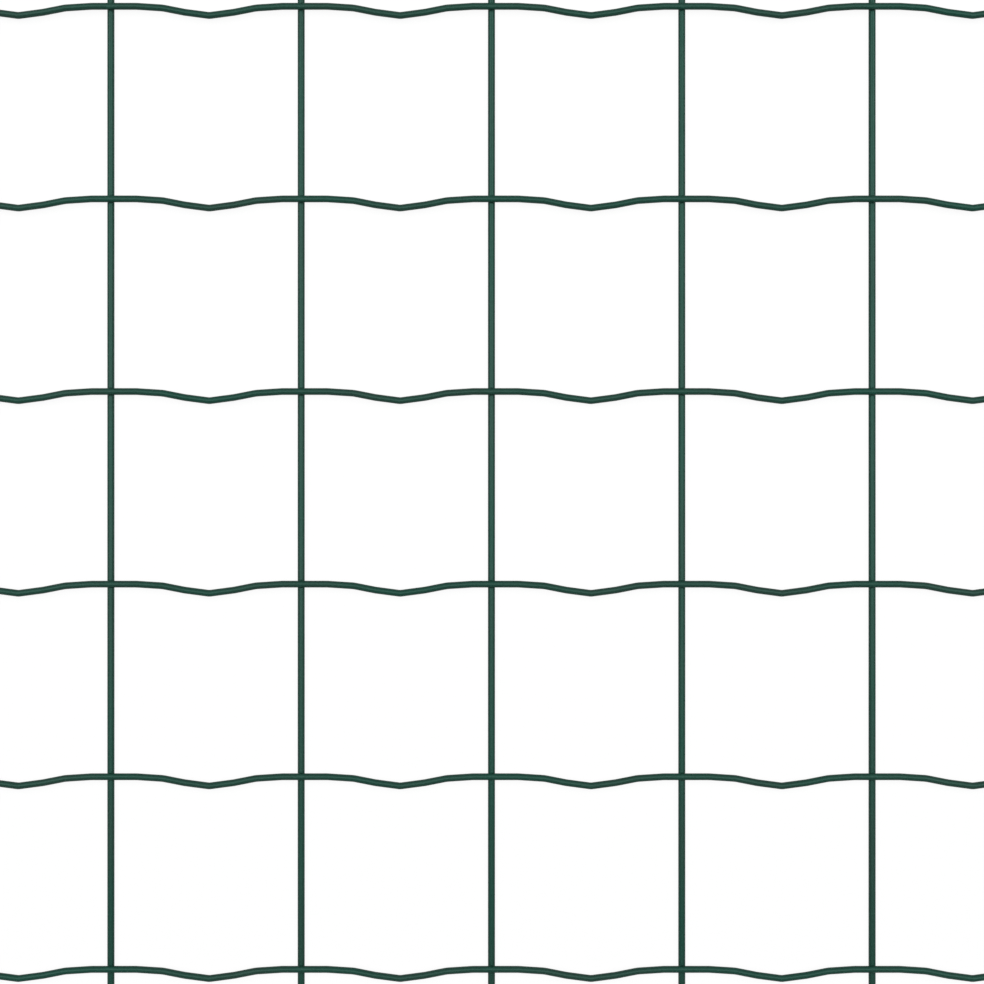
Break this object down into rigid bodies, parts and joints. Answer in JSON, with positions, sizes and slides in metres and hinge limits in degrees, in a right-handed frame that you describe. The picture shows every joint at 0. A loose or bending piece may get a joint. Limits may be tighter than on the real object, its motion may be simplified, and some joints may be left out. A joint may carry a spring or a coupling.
{
  "type": "welded wire mesh fencing sheet",
  "caption": "Flat sheet of plastic-coated welded wire fencing: straight cross wires with crimped line wires fused over them in a near-square mesh.",
  "frame": {"origin": "under the middle of the sheet, on the plane that its cross wires rest on", "axes": "+X along the fence and its line wires, +Y up the fence and along its cross wires, +Z out of the face that carries the line wires; the crimps dip towards -Y"},
  "size_m": [1, 1, 0.0049],
  "materials": {
    "coated_wire": "semi-gloss dark green plastic coating over galvanised steel wire"
  },
  "bodies": {
    "root": {"welded_mesh": "coated_wire"}
  },
  "joints": []
}
